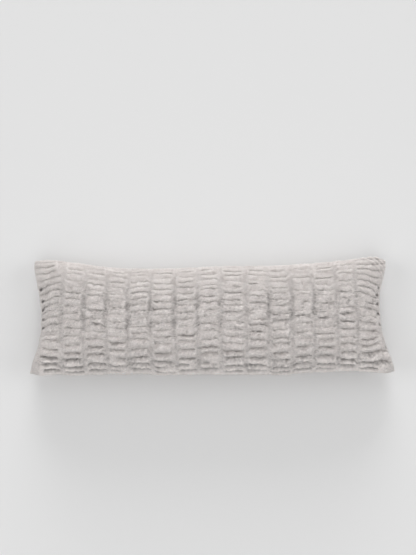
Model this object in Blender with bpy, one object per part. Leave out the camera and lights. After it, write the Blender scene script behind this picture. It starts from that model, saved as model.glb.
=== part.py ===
"""Body pillow in ruched short-pile fur, one filled solid lying on its back.

The face looks up along +Z, the long way runs along X, and +Y points from the lower long side to the upper.
The back is pressed flat on the surface at Z = 0. Elastic shirring lines run across the face and split it into
columns, and in each column the gathered cloth stands up in short rolls with creases between them. Outside the
outer lines the cloth is plain and flares out to the four corners.

Two numbers place a point of the cover: u from -1 at the left seam to 1 at the right one, and wy from -1 at
the lower seam to 1 at the upper one.
"""

from collections import namedtuple

import bpy
import numpy as np

# The long sides, in metres, seen square on to the face: a few sections across the pillow from left to right,
# each with its place along the pillow and where the upper and the lower seam lie there.
Section = namedtuple("Section", "place upper lower")
SECTIONS = [
    Section(-0.66, 0.211, -0.218),
    Section(-0.60, 0.203, -0.212),
    Section(-0.50, 0.190, -0.211),
    Section(-0.36, 0.171, -0.210),
    Section(-0.15, 0.167, -0.210),
    Section(0.05, 0.176, -0.210),
    Section(0.25, 0.178, -0.210),
    Section(0.40, 0.189, -0.200),
    Section(0.52, 0.202, -0.198),
    Section(0.66, 0.229, -0.209),
]

# The short sides, in metres: where the gathers end, how far the seam stands out beyond them where it is
# narrowest, how far it flares out to the upper and the lower corner and with what curve, the height of the
# narrowest place in shares of the half height, how far the upper and the lower corner tip are rounded off,
# and how much closer the lower rolls stand in the middle of the seam.
Side = namedtuple(
    "Side",
    "gathers_end least upper_flare upper_power lower_flare lower_power "
    "narrowest upper_tip lower_tip low_crowding",
)
LEFT = Side(-0.594, 0.009, 0.049, 1.5, 0.051, 2.8, 0.0, 0.016, 0.010, 0.28)
RIGHT = Side(0.596, 0.013, 0.045, 1.2, 0.065, 2.8, 0.25, 0.030, 0.014, 0.40)
HALF_LENGTH = 0.625       # of the seam's loop, without its corners
HALF_HEIGHT = 0.200
LOWER_TIP_RISE = 0.25     # how much of a lower tip's rounding goes upward

# Filling, in metres.
SEAM_HEIGHT = 0.064       # of the seam above the surface that the pillow lies on
UPPER_DROOP = 0.020       # how much lower the seam hangs at the upper corners
LOWER_DROOP = 0.010       # and at the lower ones
CROWN = 0.098             # of the face above the seam, in the middle
BELLY = 0.112             # of the back below the seam, if nothing pressed it flat
FLOOR_EASE = 0.008        # over this height the back turns into its flat
FLAT_BELOW = 0.0005       # under this height it is flat
END_POWER = 5.0           # how box-like the filling is along the pillow: 2 is an ellipse
UPPER_POWER = 2.2         # and across it, in the upper half
LOWER_POWER = 5.0         # and in the lower half, where the filling has slid to
SEAM_POWER = 0.62         # how round the filling leaves the seam
SAG = 0.10                # how far the filling has slid to the lower side, as a share of the half height

# Gathers, in metres or in shares of a roll's height.
ROLLS = 18                # in each column, from the lower seam to the upper one
COVER_HEIGHT = 424        # millimetres up the cover's own curve, to which the rise of the creases belongs
LOWER_ROLLS = 0.15        # how much taller the lower rolls are than the even ones, and the upper ones shorter
FIRST_ROLL = 0.55         # how much taller the lowest one is than that
ROLL_HEIGHT = 0.0093      # crest above crease, in the middle of a column
ARCH_POWER = 1.45         # how round a roll is: 1 is a ridge and 2 is half a circle
MIDDLE_ROLL_GAIN = 0.82   # height of the rolls in the middle, as a share of that
LOWER_ROLL_GAIN = 0.60    # how much further the lower rolls stand out, and the upper ones less far
EDGE_ROLL_GAIN = 0.28     # and how much further both stand out than that
FAINT_CREASE = 0.70       # depth of a faint crease, as a share of the others
LOW_CREASES = 4           # in each column the lowest creases are all deep
LOWEST_DEEPER = 0.25      # and the lowest one is deeper by this much
LINE_LEVEL = 0.75         # how high a shirring line lies in the lower part
TOP_LINE_LEVEL = 0.90     # and in the upper part
TIGHT_LEVEL = -0.30       # and in the middle, where its elastic pulls it in
LINE_BAND = 0.24          # over this share of a column's width the cloth rises from a shirring line
UPPER_EDGE_RELIEF = 0.40  # how much of the relief is left at the upper long seam
LOWER_EDGE_RELIEF = 0.90  # and at the lower one
SIDE_RELIEF = 0.35        # and at the lower half of the short ones
FADE = 0.024              # over this distance from a long seam the relief reaches its full height
UPPER_CALM = 0.022        # within this distance of an upper corner tip the cloth is nearly smooth
LOWER_CALM = 0.050        # and of a lower one
SCALLOP = 0.001           # how far each column swells past the long seams
DIMPLE_DEPTH = 0.006      # puckers of the short seams
DIMPLE_PITCH = 0.034
SEAM_CROWDING = 0.24      # how much closer the upper rolls stand in the middle of a short seam
LOW_CROWDED = 0.44        # the lower rolls crowd up to this share of the cover's height
LOW_CROWDED_FADE = 0.20   # and ever less over this share below it
EAR_RELIEF = 0.60         # how much of the rolls' depth is left at the short seams
END_DEPTH = 1.1           # depth of the uppermost creases of the first and last column
LOW_EAR_CREASES = (2, 3)  # the low creases that go on to the right short seam
EAR_TIGHT = 0.20          # how tight the gathers' two outer ends are
LINE_PULL = 0.20          # over this share of a column its rolls turn to meet the ones beside them
EAR_PULL = 0.80           # and the same towards the short sides, in the upper half
LOW_EAR_PULL = 0.50       # and in the lower half
EAR_CURVE = 1.6           # how sharply they turn there
SEED = 7

# One row for each column between two shirring lines, from left to right: where the line at its right end
# lies, in metres from the pillow's middle, how far that line's lower end stands to the right, how hard its
# elastic pulls in the middle, the shift of the column's creases in shares of a roll, the rise of its creases
# from left to right in millimetres in the lower and upper half, the two creases that are only faint,
# counted from below, and the depth of every second crease.
Column = namedtuple("Column", "right lean tight shift rise_low rise_high faint_a faint_b alternate")
COLUMNS = [
    Column(-0.524, 0.010, 0.1, 0.10, -6.0, 6.0, 5, 16, 1.0),
    Column(-0.445, 0.012, 1.0, -0.25, 1.0, 2.0, 9, 14, 1.0),
    Column(-0.367, 0.018, 0.5, 0.30, 0.0, -1.0, 6, 12, 1.0),
    Column(-0.290, 0.016, 0.8, -0.10, -1.0, -4.0, 7, 13, 1.0),
    Column(-0.210, 0.015, 0.7, 0.25, 1.5, 15.0, 8, 15, 1.0),
    Column(-0.125, 0.012, 1.0, -0.30, -1.0, 1.0, 6, 9, 1.0),
    Column(-0.045, 0.008, 0.6, 0.05, -1.5, 0.5, 4, 10, 1.0),
    Column(0.037, 0.004, 0.4, 0.35, 0.0, 2.0, 8, 12, 1.0),
    Column(0.127, 0.000, 0.4, -0.15, -1.5, 1.0, 5, 11, 1.0),
    Column(0.207, 0.000, 0.8, 0.20, 0.0, 1.5, 9, 15, 1.0),
    Column(0.286, 0.000, 0.7, -0.30, 1.0, 1.0, 7, 14, 1.0),
    Column(0.365, 0.000, 0.6, 0.15, 0.0, -1.0, 6, 10, 0.55),
    Column(0.447, 0.000, 0.4, -0.20, -1.5, -2.0, 9, 13, 0.80),
    Column(0.517, 0.000, 0.3, 0.30, -1.0, -2.5, 5, 12, 1.0),
    Column(0.596, 0.000, 0.2, 0.00, 6.0, -8.0, 8, 16, 1.0),
]

EAR_CUTS = (0.0, 0.5)                  # where the plain cloth beside the gathers is cut, from its seam inward
ACROSS = (0.0, 0.15, 0.5, 0.85)        # where a column is cut lengthwise, in shares of its width
ALONG = (0.0, 0.22, 0.5, 0.78)         # where a roll is cut, in shares of its height

# The rings of the back, in metres in from the seam, where the filling is measured. One middle point closes
# the last ring, which is flat. The cloth of each ring bulges outward by a gain of the ring's own distance,
# which fades over the reach.
BACK_RINGS = (0.004, 0.014, 0.034, 0.075, 0.130)
Bulge = namedtuple("Bulge", "gain reach")
END_BULGE = Bulge(2.70, 0.026)         # at the short sides, where the back stands out past the seam
LONG_BULGE = Bulge(1.25, 0.060)        # at the long sides, where it doesn't
GATHER_REACH = 0.006                   # over this distance the gathers of the seam die out on the back
TABLE_STEPS = 2001

FUR_COLOUR = (0.560, 0.520, 0.495, 1.0)
FUR_ROUGHNESS = 0.95


def blended(start, end, share):
    """The value at a share of the way from start to end."""
    return start + (end - start) * share


def smooth_step(value):
    """0 below 0, 1 above 1, and a smooth climb between."""
    t = np.clip(value, 0, 1)
    return t * t * (3 - 2 * t)


def filled(w, power):
    """Share of the full thickness at w, which is -1 and 1 at the two seams."""
    return np.clip(1 - np.abs(w) ** power, 0, 1) ** SEAM_POWER


def filled_across(wy):
    """The same across the pillow, where the filling has slid to the lower side and fills it more squarely."""
    w = wy + SAG * (1 - wy**2)
    return filled(w, np.where(w > 0, UPPER_POWER, LOWER_POWER))


def up_cover(shares):
    """Where wy lies at these shares, 0 to 1, of the way up the cover's own curve."""
    w = np.linspace(-1, 1, TABLE_STEPS)
    steps = np.hypot(HALF_HEIGHT * np.diff(w), CROWN * np.diff(filled_across(w)))
    run = np.concatenate([[0], np.cumsum(steps)])
    return np.interp(np.asarray(shares) * run[-1], run, w)


def side_seam(side, wy):
    """X of a short side's seam."""
    up = np.clip((wy - side.narrowest) / (1 - side.narrowest), 0, 1)
    down = np.clip((side.narrowest - wy) / (1 + side.narrowest), 0, 1)
    out = side.least + side.upper_flare * up**side.upper_power + side.lower_flare * down**side.lower_power
    return side.gathers_end + np.sign(side.gathers_end) * out


def long_seam(x, name):
    """Y of the upper or lower long seam, led smoothly from section to section."""
    at = np.array([section.place for section in SECTIONS])
    y = np.array([getattr(section, name) for section in SECTIONS])
    slope = np.gradient(y, at)
    i = np.clip(np.searchsorted(at, x) - 1, 0, len(at) - 2)
    gap = at[i + 1] - at[i]
    t = np.clip((x - at[i]) / gap, 0, 1)
    bend = t * (1 - t) * gap * ((1 - t) * slope[i] - t * slope[i + 1])
    return blended(y[i], y[i + 1], smooth_step(t)) + bend


def across_at(x, wy):
    """u of places given by X and wy."""
    left, right = side_seam(LEFT, wy), side_seam(RIGHT, wy)
    return np.clip(2 * (x - left) / (right - left) - 1, -1, 1)


def outline_place(u, wy):
    """X and Y of points of the cover, before the filling lifts them."""
    x = blended(side_seam(LEFT, wy), side_seam(RIGHT, wy), (u + 1) / 2)
    y = blended(long_seam(x, "lower"), long_seam(x, "upper"), (wy + 1) / 2)
    upper = np.where(u > 0, RIGHT.upper_tip, LEFT.upper_tip)
    lower = np.where(u > 0, RIGHT.lower_tip, LEFT.lower_tip)
    tip = np.where(wy > 0, upper, lower) * np.abs(u) ** 24 * np.abs(wy) ** 12
    rise = np.where(wy > 0, 1.0, LOWER_TIP_RISE)
    return np.stack([x - np.sign(u) * tip, y - np.sign(wy) * tip * rise], axis=-1)


def seam_level(u, wy):
    """Height of the seam, which hangs lower at the corners."""
    return SEAM_HEIGHT - np.where(wy > 0, UPPER_DROOP, LOWER_DROOP) * np.abs(u) ** 14 * np.abs(wy) ** 5


def fullness(u, wy):
    """Share of the full thickness."""
    return filled(u, END_POWER) * filled_across(wy)


def face_place(u, wy):
    """Points of the face before it is gathered."""
    z = seam_level(u, wy) + CROWN * fullness(u, wy)
    return np.concatenate([outline_place(u, wy), z[..., None]], axis=-1)


def face_normal(u, wy):
    """The way out of the ungathered face, read a little inside the seams, where it is steep."""
    inner, step = 0.985, 0.004
    u, wy = np.clip(u, -inner, inner), np.clip(wy, -inner, inner)
    along = face_place(u + step, wy) - face_place(u - step, wy)
    up = face_place(u, wy + step) - face_place(u, wy - step)
    normal = np.cross(along, up)
    return normal / np.linalg.norm(normal, axis=-1, keepdims=True)


def eased_floor(z):
    """Height of the back, pressed flat where it would reach below the surface."""
    eased = (z + FLOOR_EASE) ** 2 / (4 * FLOOR_EASE)
    level = np.where(z > FLOOR_EASE, z, np.where(z < -FLOOR_EASE, 0.0, eased))
    return np.where(level < FLAT_BELOW, 0.0, level)


def lowered(places):
    """Places up the cover, 0 to 1, moved so that the lower rolls are the taller ones."""
    return places + LOWER_ROLLS * places * (1 - places)


def even_creases():
    """Where the creases are before they wander, counted in rolls, with the lowest roll the tallest."""
    steps = np.arange(ROLLS + 1)
    return steps + FIRST_ROLL * (1 - steps / ROLLS) ** 2


def crease_tables():
    """Place of each crease in shares of the cover's height, and its depth, one row for each column."""
    random = np.random.default_rng(SEED)
    shape = (len(COLUMNS), ROLLS + 1)
    place = even_creases() + random.uniform(-0.2, 0.2, shape)
    depth = random.uniform(0.75, 1.1, shape)
    for row, column in enumerate(COLUMNS):
        place[row] += column.shift
        depth[row, [column.faint_a, column.faint_b]] = FAINT_CREASE
        depth[row, 1::2] *= column.alternate
    place[:, 0], place[:, -1] = 0, ROLLS
    depth[:, 0], depth[:, -1] = 1, 1
    detail = np.random.default_rng(SEED + 1)
    depth[:, 1:-1] *= detail.uniform(0.65, 1.1, (len(COLUMNS), ROLLS - 1))
    depth[:, 1 : LOW_CREASES + 1] = detail.uniform(0.85, 1.15, (len(COLUMNS), LOW_CREASES))
    depth[:, 1] += LOWEST_DEEPER
    depth[[0, -1], ROLLS * 2 // 3 : -1] = END_DEPTH
    return lowered(place / ROLLS), depth


def roll_rows(creases):
    """Shares of the cover's height at which one column is cut, from its creases."""
    steps = blended(creases[:-1, None], creases[1:, None], np.array(ALONG)[None, :])
    return np.append(steps.ravel(), creases[-1])


def seam_rows(side):
    """The rows along a short seam, where they crowd towards its middle."""
    creases = lowered(np.arange(ROLLS + 1) / ROLLS)
    low = side.low_crowding * smooth_step((LOW_CROWDED - creases) / LOW_CROWDED_FADE)
    crowding = np.where(creases > 0.5, SEAM_CROWDING, low)
    return roll_rows(creases + crowding * np.sin(2 * np.pi * creases) / (2 * np.pi))


def roll_heights(depth):
    """How far the cloth stands above the bottom of the creases at each row of one column, in shares."""
    share = np.array(ALONG)
    arch = (1 - np.abs(2 * share - 1) ** ARCH_POWER) ** (1 / ARCH_POWER)
    cut = blended(depth[:-1, None], depth[1:, None], share[None, :]) * (1 - arch)[None, :]
    return np.append(1 - cut.ravel(), 1 - depth[-1])


def column_swell(share):
    """How far a column swells between its shirring lines, 0 to 1."""
    return smooth_step(min(share, 1 - share) / LINE_BAND)


def ear_heights(depth, low_creases, share):
    """The same beside the gathers, where few low creases go on, at this share of the way to the seam."""
    goes_on = np.arange(ROLLS + 1) >= ROLLS // 2
    goes_on[[0, *low_creases]] = True
    return blended(1, roll_heights(depth * goes_on), blended(1, EAR_RELIEF, share))


def turned(share, outside):
    """How far each row turns to meet the one beyond a line, at this share of the width from it."""
    rows = np.linspace(0, 1, ROLLS * len(ALONG) + 1)
    if outside:
        reach = blended(LOW_EAR_PULL, EAR_PULL, smooth_step(4 * rows - 1.5))
        return np.maximum(0, 1 - share / reach) ** EAR_CURVE
    return np.full(len(rows), 1 - smooth_step(share / LINE_PULL))


def column_rows(places, column, share):
    """Shares of the cover's height at which a column is cut, at this share of its width."""
    rise = blended(column.rise_low, column.rise_high, smooth_step(places * 2 - 0.5)) / COVER_HEIGHT
    return roll_rows(places + rise * np.sin(np.pi * places) * (share - 0.5))


def line_place(column, wy):
    """X of the shirring line at the right end of a column."""
    return column.right + column.lean * np.clip(-wy, 0, 1) ** 1.5


def line_rows(places):
    """Shares of the cover's height at which the rolls meet, at each shirring line and at the two ends."""
    inner = zip(places[:-1], COLUMNS[:-1], places[1:], COLUMNS[1:])
    met = [(column_rows(a, left, 1.0) + column_rows(b, right, 0.0)) / 2 for a, left, b, right in inner]
    return [seam_rows(LEFT)] + met + [seam_rows(RIGHT)]


def face_cuts():
    """The lengthwise cuts of the face from left to right: u, wy, swell, heights and tightness of each."""
    places, depths = crease_tables()
    lines = line_rows(places)
    last = len(COLUMNS) - 1
    seam_wy = up_cover(lines[0])
    level = np.ones(len(seam_wy))
    cuts = []
    for share in EAR_CUTS:
        x = blended(side_seam(LEFT, seam_wy), LEFT.gathers_end, share)
        heights = ear_heights(depths[0], (), 1 - share)
        cuts.append((across_at(x, seam_wy), seam_wy, level, heights, EAR_TIGHT * level))
    for row, column in enumerate(COLUMNS):
        before = COLUMNS[row - 1] if row else Column(LEFT.gathers_end, 0, EAR_TIGHT, 0, 0, 0, 0, 0, 1)
        to_left = lines[row] - column_rows(places[row], column, 0.0)
        to_right = lines[row + 1] - column_rows(places[row], column, 1.0)
        for share in ACROSS if row < last else ACROSS + (1.0,):
            pull = to_left * turned(share, row == 0) + to_right * turned(1 - share, row == last)
            wy = up_cover(column_rows(places[row], column, share) + pull)
            x = blended(line_place(before, wy), line_place(column, wy), share)
            tight = (before.tight if share < 0.5 else column.tight) * level
            outside = share < 0.5 if row == 0 else share > 0.5 and row == last
            swell = (1.0 if outside else column_swell(share)) * level
            cuts.append((across_at(x, wy), wy, swell, roll_heights(depths[row]), tight))
    seam_wy = up_cover(lines[-1])
    for share in reversed(EAR_CUTS):
        x = blended(RIGHT.gathers_end, side_seam(RIGHT, seam_wy), 1 - share)
        heights = ear_heights(depths[last], LOW_EAR_CREASES, 1 - share)
        cuts.append((across_at(x, seam_wy), seam_wy, level, heights, EAR_TIGHT * level))
    return [np.array(part) for part in zip(*cuts)]


def face_grid():
    """Points of the gathered face, as an array of lengthwise cuts by rows, with their u and wy."""
    u, wy, swell, heights, tight = face_cuts()
    points = face_place(u, wy)
    edge = half_sizes() * (1 - np.abs(np.stack([u, wy], axis=-1)))
    calm = smooth_step(np.linalg.norm(edge, axis=-1) / np.where(wy > 0, UPPER_CALM, LOWER_CALM))
    from_side = smooth_step(edge[..., 0] / FADE)
    from_long = smooth_step(edge[..., 1] / FADE)
    middle = smooth_step(1.15 - 1.6 * np.abs(wy - 0.08))
    hold = (1 - swell) * from_long
    loose = blended(LINE_LEVEL, TOP_LINE_LEVEL, smooth_step(2 * wy - 0.3))
    crest = (1 - hold) * heights * calm + hold * blended(loose, TIGHT_LEVEL, middle * tight)
    at_long = np.where(wy > 0, UPPER_EDGE_RELIEF, LOWER_EDGE_RELIEF)
    at_side = blended(1, SIDE_RELIEF, smooth_step(0.3 - 3 * wy))
    relief = (MIDDLE_ROLL_GAIN - LOWER_ROLL_GAIN * wy + EDGE_ROLL_GAIN * wy**2) * crest
    relief = relief * blended(at_long, 1, from_long) * blended(at_side, 1, from_side)
    points += face_normal(u, wy) * (ROLL_HEIGHT * relief)[..., None]
    points += seam_gathers(u, wy, swell, points)
    return points, u, wy


def half_sizes():
    """Half the length and height of the seam's loop."""
    return np.array([HALF_LENGTH, HALF_HEIGHT])


def seam_gathers(u, wy, swell, points):
    """Moves of the seam's own points: scallops on the long sides and puckers on the short ones."""
    long_side = (np.abs(wy) > 1 - 1e-9) * np.sign(wy) * (1 - np.abs(u) ** 20)
    short_side = (np.abs(u) > 1 - 1e-9) * np.sign(u) * (1 - np.abs(wy) ** 6)
    pucker = np.clip(np.cos(2 * np.pi * points[..., 1] / DIMPLE_PITCH), 0, 1) ** 4
    move = np.zeros(points.shape)
    move[..., 1] = long_side * SCALLOP * (swell - 0.5)
    move[..., 0] = -short_side * DIMPLE_DEPTH * pucker
    return move


def border_of(grid):
    """The grid's outer points in order, anticlockwise seen from above."""
    lower, right = grid[:-1, 0], grid[-1, :-1]
    upper, left = grid[:0:-1, -1], grid[0, :0:-1]
    return np.concatenate([lower, right, upper, left])


def bulged(bulge, inward):
    """How far the back's cloth bulges outward from a ring that is measured this far in from the seam."""
    return inward * bulge.gain * np.exp(-inward / bulge.reach)


def back_ring(seam, u, wy, inward):
    """The points of one ring of the back."""
    ring_u, ring_y = u * (1 - inward / HALF_LENGTH), wy * (1 - inward / HALF_HEIGHT)
    z = eased_floor(seam_level(ring_u, ring_y) - BELLY * fullness(ring_u, ring_y))
    out = np.stack([np.sign(u) * np.abs(u) ** 12, np.sign(wy) * np.abs(wy) ** 12], axis=-1)
    out /= np.linalg.norm(out, axis=-1, keepdims=True)
    out *= [bulged(END_BULGE, inward), bulged(LONG_BULGE, inward)]
    out *= (1 - 0.5 * (np.abs(u) * np.abs(wy)) ** 8)[:, None]
    gathers = (seam[:, :2] - outline_place(u, wy)) * np.exp(-inward / GATHER_REACH)
    return np.column_stack([outline_place(ring_u, ring_y) + out + gathers, z])


def grid_faces(columns, rows):
    """Quads of a grid whose points are numbered row by row within each column."""
    faces = []
    for i in range(columns - 1):
        for j in range(rows - 1):
            a = i * rows + j
            faces.append((a, a + rows, a + rows + 1, a + 1))
    return faces


def pillow_mesh():
    """Points and faces of the whole closed cover."""
    face, u, wy = face_grid()
    columns, rows = u.shape
    numbers = np.arange(columns * rows).reshape(columns, rows)
    points = [face.reshape(-1, 3)]
    faces = grid_faces(columns, rows)
    loop = border_of(numbers)
    seam, seam_u, seam_wy = border_of(face), border_of(u), border_of(wy)
    start = columns * rows
    for inward in BACK_RINGS:
        points.append(back_ring(seam, seam_u, seam_wy, inward))
        ring = np.arange(start, start + len(loop))
        start += len(loop)
        for a, b, c, d in zip(loop, np.roll(loop, -1), np.roll(ring, -1), ring):
            faces.append((b, a, d, c))
        loop = ring
    points.append(np.zeros((1, 3)))
    faces += [(b, a, start) for a, b in zip(loop, np.roll(loop, -1))]
    points = np.concatenate(points)
    low, high = points.min(axis=0), points.max(axis=0)
    points[:, :2] -= (low[:2] + high[:2]) / 2
    return points, [tuple(int(i) for i in face) for face in faces]


def fur_material():
    """Pale warm grey fur."""
    material = bpy.data.materials.new("fur")
    material.use_nodes = True
    shader = material.node_tree.nodes["Principled BSDF"]
    shader.inputs["Base Color"].default_value = FUR_COLOUR
    shader.inputs["Roughness"].default_value = FUR_ROUGHNESS
    shader.inputs["Metallic"].default_value = 0.0
    return material


def build_pillow():
    """The pillow as one object."""
    points, faces = pillow_mesh()
    mesh = bpy.data.meshes.new("pillow")
    mesh.from_pydata(points.tolist(), [], faces)
    mesh.shade_smooth()
    mesh.materials.append(fur_material())
    mesh.validate()
    pillow = bpy.data.objects.new("pillow", mesh)
    bpy.context.scene.collection.objects.link(pillow)
    return pillow


def main():
    """Empty the scene and build the pillow in it."""
    for old in list(bpy.data.objects):
        bpy.data.objects.remove(old)
    build_pillow()


if __name__ == "__main__":
    main()
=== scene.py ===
"""Looks of the body pillow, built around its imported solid.

The pillow lies on its back with its face up. Elastic shirring lines split the face into columns, and in
each column the gathered cloth stands up in short rolls. The cover is rebuilt here at the fineness of its
creases, and a short pile of small tufts grows from it. All sizes are in metres unless a name or comment
says otherwise.

Two numbers place a point of the cover: u from -1 at the left seam to 1 at the right one, and wy from -1 at
the lower seam to 1 at the upper one.
"""

import logging
import math
from dataclasses import dataclass, replace
from enum import Enum

import bpy
import numpy as np
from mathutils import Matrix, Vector

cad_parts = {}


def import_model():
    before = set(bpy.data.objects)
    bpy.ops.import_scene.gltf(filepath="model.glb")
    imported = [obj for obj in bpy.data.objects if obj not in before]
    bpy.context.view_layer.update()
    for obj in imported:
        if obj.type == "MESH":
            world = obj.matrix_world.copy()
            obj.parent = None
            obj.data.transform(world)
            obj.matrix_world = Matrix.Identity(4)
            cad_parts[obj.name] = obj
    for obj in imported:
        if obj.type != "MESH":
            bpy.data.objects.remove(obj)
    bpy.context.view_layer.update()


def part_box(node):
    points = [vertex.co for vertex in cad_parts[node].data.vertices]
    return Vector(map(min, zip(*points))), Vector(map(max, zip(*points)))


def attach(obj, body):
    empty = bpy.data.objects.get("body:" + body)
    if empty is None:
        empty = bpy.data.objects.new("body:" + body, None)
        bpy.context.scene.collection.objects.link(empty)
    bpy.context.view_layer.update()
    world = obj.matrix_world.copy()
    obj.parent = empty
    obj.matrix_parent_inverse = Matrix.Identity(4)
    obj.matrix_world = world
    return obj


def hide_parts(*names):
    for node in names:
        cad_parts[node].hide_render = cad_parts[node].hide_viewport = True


LOG = logging.getLogger("body_pillow")
NODE = "pillow"
BODY = "root"
TINY = 1e-12

Amount = float | np.ndarray
Span = tuple[float, float]
Colour = tuple[float, float, float]
Socket = bpy.types.NodeSocket


def blended(start: Amount, end: Amount, share: Amount) -> Amount:
    """The value at a share of the way from start to end."""
    return start + (end - start) * share


def smooth_step(value: Amount) -> Amount:
    """0 below 0, 1 above 1, and a smooth climb between."""
    t = np.clip(value, 0, 1)
    return t * t * (3 - 2 * t)


def unit(vectors: np.ndarray) -> np.ndarray:
    """The vectors at length 1."""
    return vectors / np.maximum(np.linalg.norm(vectors, axis=-1, keepdims=True), TINY)


@dataclass(frozen=True)
class Fade:
    """A smooth change from 0 to 1: where it starts, and how much further on, or back, it is done."""

    start: float
    reach: float

    def at(self, value: Amount) -> Amount:
        """How far the change is done at this value."""
        return smooth_step((value - self.start) / self.reach)


@dataclass(frozen=True)
class Ripples:
    """A smooth, seeded unevenness over space, summed from waves that run in all directions.

    A stretch below 1 draws the ripples out along the pillow. lengths are the shortest and the longest wave,
    as shares of the wavelength, and usual_height scales their sum so that it mostly stays within the height.
    """

    wavelength: float
    seed: int
    waves: int = 14
    stretch: float = 1.0
    height: float = 1.0
    lengths: Span = (0.7, 1.6)
    usual_height: float = 0.7

    def at(self, points: np.ndarray) -> np.ndarray:
        """Reads the unevenness.

        Args:
            points: places in metres, with X, Y and Z last.

        Returns:
            One number for each place, mostly from minus the height to the height.
        """
        random = np.random.default_rng(self.seed)
        ways = unit(random.normal(size=(self.waves, 3))) * [self.stretch, 1, 1]
        scale = 2 * math.pi / (self.wavelength * random.uniform(*self.lengths, self.waves))
        start = random.uniform(0, 2 * math.pi, self.waves)
        total = np.zeros(points.shape[:-1])
        for way, pace, phase in zip(ways, scale, start):
            total += np.sin(points @ way * pace + phase)
        return total * math.sqrt(2 / self.waves) * self.usual_height * self.height

    def ways_at(self, points: np.ndarray) -> np.ndarray:
        """The same along X, Y and Z, from a seed of its own for each."""
        return np.stack([replace(self, seed=self.seed + axis).at(points) for axis in range(3)], axis=-1)


@dataclass(frozen=True)
class Column:
    """One column of rolls between two shirring lines.

    right is the line at its right end, in metres from the pillow's middle, lean is how far that line's lower
    end stands to the right, and tight is how hard its elastic pulls in the middle. shift moves the creases by
    shares of a roll, rise_low and rise_high are how far they climb from left to right in millimetres in the
    lower and upper half, and faint_a and faint_b are the two creases that are shallow there, counted from
    below. alternate is the depth of every second crease.
    """

    right: float
    lean: float
    tight: float
    shift: float = 0.0
    rise_low: float = 0.0
    rise_high: float = 0.0
    faint_a: int = 0
    faint_b: int = 0
    alternate: float = 1.0


COLUMNS = (
    Column(-0.524, 0.010, 0.1, 0.10, -6.0, 6.0, 5, 16),
    Column(-0.445, 0.012, 1.0, -0.25, 1.0, 2.0, 9, 14),
    Column(-0.367, 0.018, 0.5, 0.30, 0.0, -1.0, 6, 12),
    Column(-0.290, 0.016, 0.8, -0.10, -1.0, -4.0, 7, 13),
    Column(-0.210, 0.015, 0.7, 0.25, 1.5, 15.0, 8, 15),
    Column(-0.125, 0.012, 1.0, -0.30, -1.0, 1.0, 6, 9),
    Column(-0.045, 0.008, 0.6, 0.05, -1.5, 0.5, 4, 10),
    Column(0.037, 0.004, 0.4, 0.35, 0.0, 2.0, 8, 12),
    Column(0.127, 0.000, 0.4, -0.15, -1.5, 1.0, 5, 11),
    Column(0.207, 0.000, 0.8, 0.20, 0.0, 1.5, 9, 15),
    Column(0.286, 0.000, 0.7, -0.30, 1.0, 1.0, 7, 14),
    Column(0.365, 0.000, 0.6, 0.15, 0.0, -1.0, 6, 10, 0.55),
    Column(0.447, 0.000, 0.4, -0.20, -1.5, -2.0, 9, 13, 0.80),
    Column(0.517, 0.000, 0.3, 0.30, -1.0, -2.5, 5, 12),
    Column(0.596, 0.000, 0.2, 0.00, 6.0, -8.0, 8, 16),
)


@dataclass(frozen=True)
class Section:
    """One section across the pillow: its place, and where the upper and lower sides are there."""

    place: float
    upper: float
    lower: float


SECTIONS = (
    Section(-0.66, 0.211, -0.218),
    Section(-0.60, 0.203, -0.212),
    Section(-0.50, 0.190, -0.211),
    Section(-0.36, 0.171, -0.210),
    Section(-0.15, 0.167, -0.210),
    Section(0.05, 0.176, -0.210),
    Section(0.25, 0.178, -0.210),
    Section(0.40, 0.189, -0.200),
    Section(0.52, 0.202, -0.198),
    Section(0.66, 0.229, -0.209),
)


@dataclass(frozen=True)
class Side:
    """One short side: where its gathers end, and how far its seam flares out beyond them to its two corners.

    narrowest is the wy where the seam comes closest to the gathers, and least is how close it comes.
    upper_tip and lower_tip are how far the two corners are rounded off, and low_crowding is how strongly the
    rows of the lower half crowd towards the seam's middle.
    """

    gathers_end: float
    upper_flare: float
    upper_power: float
    lower_flare: float
    lower_power: float
    narrowest: float
    least: float
    upper_tip: float
    lower_tip: float
    low_crowding: float

    def seam(self, wy: np.ndarray) -> np.ndarray:
        """Follows the side's seam from corner to corner.

        Args:
            wy: places across the pillow.

        Returns:
            X of the seam at each.
        """
        up = np.clip((wy - self.narrowest) / (1 - self.narrowest), 0, 1)
        down = np.clip((self.narrowest - wy) / (1 + self.narrowest), 0, 1)
        out = self.least + self.upper_flare * up**self.upper_power + self.lower_flare * down**self.lower_power
        return self.gathers_end + math.copysign(1, self.gathers_end) * out


LEFT = Side(-0.594, 0.049, 1.5, 0.051, 2.8, 0.0, 0.009, upper_tip=0.016, lower_tip=0.010, low_crowding=0.28)
RIGHT = Side(0.596, 0.045, 1.2, 0.065, 2.8, 0.25, 0.013, upper_tip=0.030, lower_tip=0.014, low_crowding=0.40)


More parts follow.
